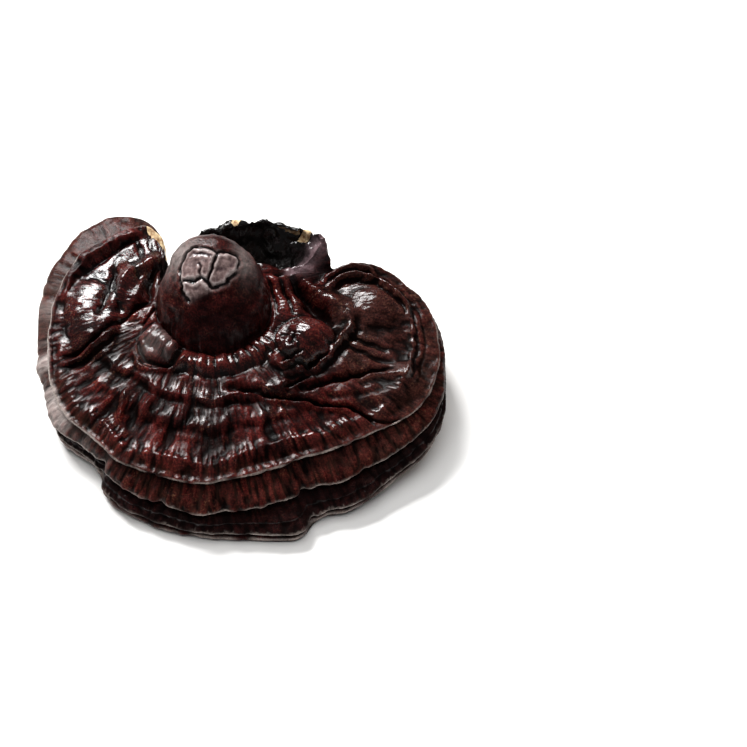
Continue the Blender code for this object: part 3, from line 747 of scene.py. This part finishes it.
bump = fine + lift * isTop
nearHollow = blurred(bump, 3, 3) - bump
wideHollow = blurred(bump, 5, 9) - bump
crest = np.clip(0.5 - nearHollow / 0.7 - wideHollow / 2.6, 0, 1)
# pale lip lines along each layer's edge: wear, lightened further as painted glints
wornLipAndGlint = between(levels, 0.01, 0.09, 0.03) * 0.9 + between(levels, 0.95, 1.05, 0.03) * 0.9
wornLipAndGlint += between(levels, 1.59, 1.67, 0.02) + between(levels, 1.88, 1.98, 0.02)
wornAndGlintPatches = np.clip(0.55 + streaks(rimRadius, 5, 400, 33.0) * 1.8, 0, 1)
wornLipAndGlint *= np.maximum(wornAndGlintPatches, between(turnedRay, 527, 592, 4)) * (1 - stubGrid)
wornLipAndGlint *= keyed(((500, 1.0), (685, 1.0), (700, 0.55), (760, 0.55), (860, 1.0)), turnedRay)
hollowCore = np.clip(1 - ((x - 8) / 18) ** 2 - ((y - 42.6) / 8.5) ** 2, 0, 1)
# the grey-mauve lip beside the hollow, painted lighter as a sheen
stubLip = np.zeros((rows, columns))
lipPatch = {"path": lipPath, "rise": 1.0, "left": 2.6, "right": 2.6, "taper": 4}
stubLip[upperRows] = foldRelief(lipPatch, topPlan)
stubDark = np.maximum(easeStep(0.0, 0.25, hollowCore) * isTop * (1 - isBoss),
                      stubGrid * (1 - isBoss) * easeStep(0.25, 0.45, share) * (rayGrid > 425))
fleshMask = torn * between(levels, 0.12, 1.7, 0.06)
fleshMask += between(rayGrid, 520.5, 526.0, 0.8) * between(pastRim, -0.1, 0.5, 0.06)
crumbs = np.clip(streaks(rimRadius, 3.0, 9, 41.0) * 3 - 0.35, 0, 1)
fleshMask += torn * crumbs * between(pastRim, -0.12, 0.15, 0.05)
dusty = between(levels, 0.2, 1.0, 0.1) * 0.55 + between(share, 0.9, 1.02, 0.03) * 0.4 * (rayGrid > 560)
dusty = dusty * keyed(((500, 1.3), (590, 1.2), (620, 0.7), (700, 0.7), (860, 0.6)), turnedRay)
darkBand = between(levels, 1.08, 1.85, 0.05)
wet = np.maximum(between(share, -0.03, 0.19, 0.03) * beadAmount,
                 between(turnedRay, 500, 552, 6) * between(share, 0.25, 0.86, 0.06))
shoulders = block(12.5, 24, 5, 9)
wet = np.clip(np.maximum(wet, knob + 0.8 * stubLip + shoulders) * isTop + wornLipAndGlint * 0.8 + plateMask, 0, 1)
dull = between(turnedRay, 556, 700, 6) * between(share, 0.2, 0.95, 0.03)
dull *= 1 - np.clip(nearCrest * 1.6, 0, 1)
# painted shade: the colour darkened along the valleys of the broad radial folds
foldDark = np.clip(1.1 - broad * 2.2, 0, 1) * between(share, 0.15, 0.82, 0.06) * np.minimum(broadAmount, 1)
foldDark *= (1 - 0.8 * easeStep(694, 706, turnedRay)) * (1 - isBoss)
# pale grey bloom on the left margin, lightened in part as a painted sheen
bloom = np.maximum(between(levels, 0.12, 0.95, 0.1), between(share, 0.99, 1.01, 0.01) * 0.5) * keyed(
    ((537, 0.0), (546, 0.6), (556, 1.0), (582, 1.0), (592, 0.2), (600, 0.0)), turnedRay)
bloom *= (1 - 0.5 * easeStep(0.3, 0.6, levels)) * np.clip(0.75 + scallop * 2.6, 0.1, 1.0)
# painted highlights: the boss's top-left edge and its right shoulder lightened
bossEdgeHighlight = mound(-19, 29, 6, 5) + 0.7 * mound(1, 27, 3, 5)
bloom = np.maximum(bloom, 0.4 * bossEdgeHighlight * isBoss * (1 - plateMask))
bloom = np.maximum(bloom, 0.09 * block(-26, 6, 5.5, 5) * isTop * (1 - isBoss))
satin = between(share, 0.93, 1.02, 0.03) * keyed(
    ((500, 0.9), (600, 0.8), (620, 0.5), (680, 0.5), (690, 0.9), (860, 1.0)), turnedRay)
satin = np.maximum(satin, between(levels, 0.08, 1.0, 0.04) + 0.5 * (levels > 1.0))
rightBand = easeStep(690, 704, turnedRay) * (1 - easeStep(760, 775, turnedRay))
satin = np.maximum(satin, rightBand * easeStep(0.83, 0.9, share))
satin = np.maximum(satin, isBoss * (1 - plateMask) * 0.5)
rightLobe = between(turnedRay, 694, 752, 8) * isTop * (1 - isBoss)
mottle = np.maximum(isBoss, 0.75 * rightLobe * (share < 0.9))
brown = np.clip(rightLobe * easeStep(26, 34, x) + 0.5 * easeStep(26, 50, x) * (1 - isBoss), 0, 0.9)
brown = np.maximum(brown, between(levels, 0.1, 1.0, 0.1) * 0.2)
shaded = mound(-4, 9, 14, 9) * isBoss * (1 - plateMask)

# build the skin: a flat grid of points, laid on the form, with its seam and poles welded

bm = bmesh.new()
bmesh.ops.create_grid(bm, x_segments=columns, y_segments=rows - 1, size=0.5)
skin = bpy.data.meshes.new("reishiSkin")
bm.to_mesh(skin)
bm.free()
flat = np.empty(len(skin.vertices) * 3, np.float32)
skin.vertices.foreach_get("co", flat)
flat = flat.reshape(-1, 3)
columnOf = np.rint((flat[:, 0] + 0.5) * columns).astype(int) % columns
rowOf = np.rint((0.5 - flat[:, 1]) * (rows - 1)).astype(int)
print("grid", len(flat), "seam columns", int((np.rint((flat[:, 0] + 0.5) * columns) == columns).sum()))
skin.vertices.foreach_set("co", (spots[rowOf, columnOf] * mm).astype(np.float32).ravel())
facts = {
    "crest": crest, "worn": wornLipAndGlint, "stubDark": stubDark, "flesh": fleshMask, "dusty": dusty,
    "darkBand": darkBand, "satin": satin, "wet": wet, "dull": dull, "bloom": bloom, "foldDark": foldDark,
    "shaded": shaded, "mottle": mottle, "brown": brown, "stubLip": stubLip, "plates": plateMask,
    "cracks": crackDepth / 0.7, "pores": np.broadcast_to(isUnder, (rows, columns)),
}
for name, values in facts.items():
    layer = skin.attributes.new(name, "FLOAT", "POINT")
    layer.data.foreach_set("value", np.clip(values, 0, 1)[rowOf, columnOf].astype(np.float32))
aroundRim = np.stack([np.cos(turnAngle), np.sin(turnAngle)], axis=-1) * rimRadius
grain = np.concatenate([np.broadcast_to(aroundRim, (rows, columns, 2)), radial[..., None]], axis=-1)
layer = skin.attributes.new("grain", "FLOAT_VECTOR", "POINT")
layer.data.foreach_set("vector", (grain[rowOf, columnOf] * mm).astype(np.float32).ravel())
bm = bmesh.new()
bm.from_mesh(skin)
bm.verts.ensure_lookup_table()
border = [v for v in bm.verts if v.is_boundary]
bmesh.ops.remove_doubles(bm, verts=border, dist=1e-7)
bmesh.ops.recalc_face_normals(bm, faces=bm.faces)
print("open edges", sum(e.is_boundary for e in bm.edges), "volume", round(bm.calc_volume() * 1e6), "ml")
bm.to_mesh(skin)
bm.free()
cap = bpy.data.objects.new("reishiCap", skin)
bpy.context.scene.collection.objects.link(cap)

thin = cap.modifiers.new("thin", "DECIMATE")
thin.ratio = reishi["triangles"] / (2 * len(skin.polygons))
bpy.context.view_layer.update()
lighter = bpy.data.meshes.new_from_object(cap.evaluated_get(bpy.context.evaluated_depsgraph_get()))
cap.modifiers.clear()
cap.data = lighter
lighter.shade_smooth()
print("skin", len(lighter.polygons), "faces")

# finishes


def asColour(tint):  # a hex code, or one number for a grey
    return linearColour(tint) if isinstance(tint, str) else (tint, tint, tint, 1.0)


def addNode(tree, kind, inputs, settings=None, stops=(), out=0):  # adds a node and gives its output
    node = tree.nodes.new(kind)
    for name, value in (settings or {}).items():
        setattr(node, name, value)
    for i, (place, tint) in enumerate(stops):
        stop = node.color_ramp.elements[i] if i < 2 else node.color_ramp.elements.new(place)
        stop.position = place
        stop.color = asColour(tint)
    for name, value in inputs.items():
        if isinstance(value, bpy.types.NodeSocket):
            tree.links.new(value, node.inputs[name])
        else:
            node.inputs[name].default_value = value
    return node.outputs[out]


lacquer = {
    # each noise pattern: lump size in millimetres, detail, roughness
    "patterns": {
        "mottled": (2.4, 5.0, 0.7),
        "broad": (9.0, 3.0, 0.6),
        "blotches": (14.0, 4.0, 0.65),
        "speckle": (0.75, 2.0, 0.7),
        "finest": (0.6, 3.0, 0.7),          # the real specks are about 0.2 mm, too fine to show
    },
    "fibre": (1.1, 4.0, 0.6),               # fine streaks, drawn coarse enough to show
    "fibreStretch": 0.16,                   # they run along the rays
    # the two reds that make the crust, then each layer over them
    "darkAndWarm": (("fibre", ((0.32, "#190708"), (0.68, "#661d1a"))),
                    ("broad", ((0.38, "#301512"), (0.62, "#621614")))),
    # each layer: its tint, how much of it goes on, and how
    "layers": (
        # painted shade down the broad radial folds
        (("foldDark", ((0.0, 1.0), (1.0, 0.25))), (1.0,), "MULTIPLY"),
        (("speckle", ((0.36, 0.5), (0.64, 1.15))), (1.0,), "MULTIPLY"),
        (("finest", ((0.38, 0.42), (0.62, 1.2))), (1.0,), "MULTIPLY"),
        (("blotches", ((0.38, 0.45), (0.58, 1.05))), (1.0,), "MULTIPLY"),
        (("finest", ((0.36, "#150a09"), (0.64, "#40251f"))),
         ("brown", ("mottled", ((0.35, 0.45), (0.65, 0.95)))), "MIX"),
        ("#5c4630", (("finest", ((0.56, 0.0), (0.68, 0.7))), ("broad", ((0.45, 0.0), (0.6, 1.0)))), "MIX"),
        # painted shade: the colour darkened in hollows and creases, by how far each point lies below its
        # neighbours
        (("crest", ((0.25, 0.03), (0.72, 1.0))), (0.95,), "MULTIPLY"),
        ("#4f3329", ("dusty", ("fibre", ((0.4, 0.0), (0.7, 0.6)))), "MIX"),
        # the boss's plates: grey-brown, with painted highlights on their ridges and painted shade in their
        # hollows
        (("crest", ((0.3, "#413133"), (0.6, "#7f6b68"), (0.85, "#a69794"))),
         ("plates", ("speckle", ((0.3, 0.5), (0.6, 0.95)))), "MIX"),
        ("#0b0304", ("shaded", 0.75), "MIX"),
        # pale bloom and painted sheen on the left margin, painted highlights on the boss
        ("#c0b4af", ("bloom", ("fibre", ((0.3, 0.3), (0.58, 1.0)))), "MIX"),
        ("#0b0505", ("darkBand", 0.8), "MIX"),
        ("#0a0706", ("stubDark",), "MIX"),
        # the lip's grey-mauve, lightened as a painted sheen
        ("#6a575b", ("stubLip", ("speckle", ((0.3, 0.5), (0.6, 1.0)))), "MIX"),
        # pale lip lines: wear and painted glints
        ("#a3958d", ("worn", ("speckle", ((0.3, 0.4), (0.6, 1.0)))), "MIX"),
        ("#070303", ("cracks",), "MIX"),
    ),
    "clearest": ("crest", ((0.4, 0.12), (0.68, 1.0))),     # the varnish is thickest on the crests
    # how clear the varnish is: dulled on the terraces, wet on knobs, beads and the cut stem
    "gloss": (
        (("broad", ((0.36, 0.35), (0.6, 1.0))), (1.0,), "MULTIPLY"),
        (0.0, ("dull", 0.9), "MIX"),
        (0.12, ("satin",), "MIX"),
        (1.0, ("wet",), "MIX"),
        (1.0, ("stubDark",), "MIX"),
    ),
    "roughness": ("broad", ((0.35, 0.4), (0.65, 0.65))),
    "settings": {"Coat Roughness": 0.1, "IOR": 1.5, "Specular IOR Level": 0.04},
}


def lacqueredSkin():
    # laccate crust, dark red and varnished by the mushroom itself: hard clear glints over a dull red-brown
    material = bpy.data.materials.new("lacqueredReishiSkin")
    material.use_nodes = True
    tree = material.node_tree
    shader = tree.nodes["Principled BSDF"]
    place = addNode(tree, "ShaderNodeTexCoord", {}, out="Object")
    sources = {}
    for name in facts:
        sources[name] = addNode(tree, "ShaderNodeAttribute", {}, {"attribute_name": name}, out="Fac")
    for name, (size, detail, rough) in lacquer["patterns"].items():
        inputs = {"Vector": place, "Scale": 1 / (size * mm), "Detail": detail, "Roughness": rough}
        sources[name] = addNode(tree, "ShaderNodeTexNoise", inputs)
    size, detail, rough = lacquer["fibre"]
    along = addNode(tree, "ShaderNodeAttribute", {}, {"attribute_name": "grain"}, out="Vector")
    along = addNode(tree, "ShaderNodeMapping", {"Vector": along, "Scale": (1, 1, lacquer["fibreStretch"])})
    inputs = {"Vector": along, "Scale": 1 / (size * mm), "Detail": detail, "Roughness": rough}
    fibre = addNode(tree, "ShaderNodeTexNoise", inputs)
    sources["fibre"] = addNode(tree, "ShaderNodeMix", {0: sources["mottle"], 2: fibre, 3: sources["mottled"]})

    def read(part):  # a fact or a pattern by name, a ramp over one, or a plain value
        if isinstance(part, tuple):
            return addNode(tree, "ShaderNodeValToRGB", {0: sources[part[0]]}, stops=part[1])
        return sources.get(part, part)

    def layered(base, layers):
        for tint, strength, blend in layers:
            tint = read(tint) if isinstance(tint, tuple) else asColour(tint)
            amount = read(strength[0])
            for part in strength[1:]:
                settings = {"operation": "MULTIPLY", "use_clamp": True}
                amount = addNode(tree, "ShaderNodeMath", {0: amount, 1: read(part)}, settings)
            settings = {"data_type": "RGBA", "blend_type": blend}
            base = addNode(tree, "ShaderNodeMix", {0: amount, 6: base, 7: tint}, settings, out=2)
        return base

    dark, warm = lacquer["darkAndWarm"]
    colour = layered(read(dark), ((warm, (0.45,), "MIX"),) + lacquer["layers"])
    tree.links.new(colour, shader.inputs["Base Color"])
    tree.links.new(read(lacquer["roughness"]), shader.inputs["Roughness"])
    tree.links.new(layered(read(lacquer["clearest"]), lacquer["gloss"]), shader.inputs["Coat Weight"])
    for name, value in lacquer["settings"].items():
        shader.inputs[name].default_value = value

    ribs = {"Strength": 0.5, "Distance": 0.4 * mm, "Height": sources["fibre"]}
    pits = {"Strength": 0.5, "Distance": 0.3 * mm, "Height": sources["speckle"]}
    pits["Normal"] = addNode(tree, "ShaderNodeBump", ribs)
    ripple = {"Strength": 0.35, "Distance": 0.3 * mm, "Height": sources["finest"]}   # breaks the glints up
    tree.links.new(addNode(tree, "ShaderNodeBump", pits), shader.inputs["Normal"])
    tree.links.new(addNode(tree, "ShaderNodeBump", ripple), shader.inputs["Coat Normal"])
    return material


def dryTissue(name, darkHex, lightHex, size, roughness):  # unvarnished: matt, no glints
    material = bpy.data.materials.new(name)
    material.use_nodes = True
    tree = material.node_tree
    shader = tree.nodes["Principled BSDF"]
    place = addNode(tree, "ShaderNodeTexCoord", {}, out="Object")
    inputs = {"Vector": place, "Scale": 1 / (size * mm), "Detail": 5.0, "Roughness": 0.65}
    cells = addNode(tree, "ShaderNodeTexNoise", inputs)
    colour = addNode(tree, "ShaderNodeValToRGB", {0: cells}, stops=((0.35, darkHex), (0.65, lightHex)))
    relief = addNode(tree, "ShaderNodeBump", {"Strength": 0.6, "Distance": 0.4 * mm, "Height": cells})
    tree.links.new(colour, shader.inputs["Base Color"])
    tree.links.new(relief, shader.inputs["Normal"])
    shader.inputs["Roughness"].default_value = roughness
    return material


lighter.materials.clear()
lighter.materials.append(lacqueredSkin())
# corky flesh, torn dry: pale, matt and crumbly
lighter.materials.append(dryTissue("tornReishiFlesh", "#7c5634", "#dfc9a0", 1.7, 0.9))
# pore layer, about 5 pores a millimetre, drawn coarser to show: an even dull tan
lighter.materials.append(dryTissue("reishiPoreFace", "#5f4029", "#a07d55", 0.7, 0.75))


def factValues(name):
    values = np.empty(len(lighter.vertices), np.float32)
    lighter.attributes[name].data.foreach_get("value", values)
    return values


corners = np.empty(len(lighter.loops), np.int32)
lighter.loops.foreach_get("vertex_index", corners)
starts = np.empty(len(lighter.polygons), np.int32)
totals = np.empty(len(lighter.polygons), np.int32)
lighter.polygons.foreach_get("loop_start", starts)
lighter.polygons.foreach_get("loop_total", totals)
owner = np.zeros(len(lighter.polygons), np.int32)
for index, name in ((1, "flesh"), (2, "pores")):
    mean = np.add.reduceat(factValues(name)[corners], starts) / totals
    owner[mean > 0.5] = index
lighter.polygons.foreach_set("material_index", owner)
lighter.update()

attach(cap, "root")
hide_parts("reishi_mushroom")
print("finishes")

# table, light and camera

studio = {
    "floorSize": 4.0,
    "floorHex": "#f2f1ef",
    "worldHex": "#f4f5f8",
    "worldStrength": 0.1,
    "lens": 119.0,
    "elevation": 55.0,
    "distance": 0.8,
    "aim": (0.0423, 0.0095, 0.0),
}
bm = bmesh.new()
bmesh.ops.create_grid(bm, x_segments=1, y_segments=1, size=studio["floorSize"] / 2)
floorMesh = bpy.data.meshes.new("paleTable")
bm.to_mesh(floorMesh)
bm.free()
table = bpy.data.objects.new("paleTable", floorMesh)
bpy.context.scene.collection.objects.link(table)
paper = bpy.data.materials.new("whitePaper")  # matt white backdrop paper, a plain ground
paper.use_nodes = True
paper.node_tree.nodes["Principled BSDF"].inputs["Base Color"].default_value = linearColour(studio["floorHex"])
paper.node_tree.nodes["Principled BSDF"].inputs["Roughness"].default_value = 0.8
floorMesh.materials.append(paper)


def softbox(name, place, aim, width, height, power):
    lamp = bpy.data.lights.new(name, "AREA")
    lamp.shape = "RECTANGLE"
    lamp.size, lamp.size_y = width, height
    lamp.energy = power
    stand = bpy.data.objects.new(name, lamp)
    stand.location = place
    stand.rotation_mode = "QUATERNION"
    stand.rotation_quaternion = (Vector(aim) - Vector(place)).to_track_quat("-Z", "Y")
    bpy.context.scene.collection.objects.link(stand)
    return stand


softbox("backSoftbox", (-0.42, 0.74, 0.84), (0, 0, 0.02), 0.56, 0.3, 28.0)
overhead = softbox("overheadFill", (0.05, 0.0, 1.3), (0.05, 0, 0.02), 1.5, 1.2, 14.0)
overhead.visible_glossy = False         # fills the shadows without a grey veil on the lacquer

world = bpy.data.worlds.new("paleStudio")
world.use_nodes = True
world.node_tree.nodes["Background"].inputs["Color"].default_value = linearColour(studio["worldHex"])
world.node_tree.nodes["Background"].inputs["Strength"].default_value = studio["worldStrength"]
bpy.context.scene.world = world
bpy.context.scene.view_settings.view_transform = "Standard"

lens = bpy.data.cameras.new("lookingDown")
lens.lens = studio["lens"]
camera = bpy.data.objects.new("lookingDown", lens)
elevation = math.radians(studio["elevation"])
back = Vector((0, -math.cos(elevation), math.sin(elevation)))
camera.location = Vector(studio["aim"]) + back * studio["distance"]
camera.rotation_mode = "QUATERNION"
camera.rotation_quaternion = (-back).to_track_quat("-Z", "Y")
bpy.context.scene.collection.objects.link(camera)
bpy.context.scene.camera = camera
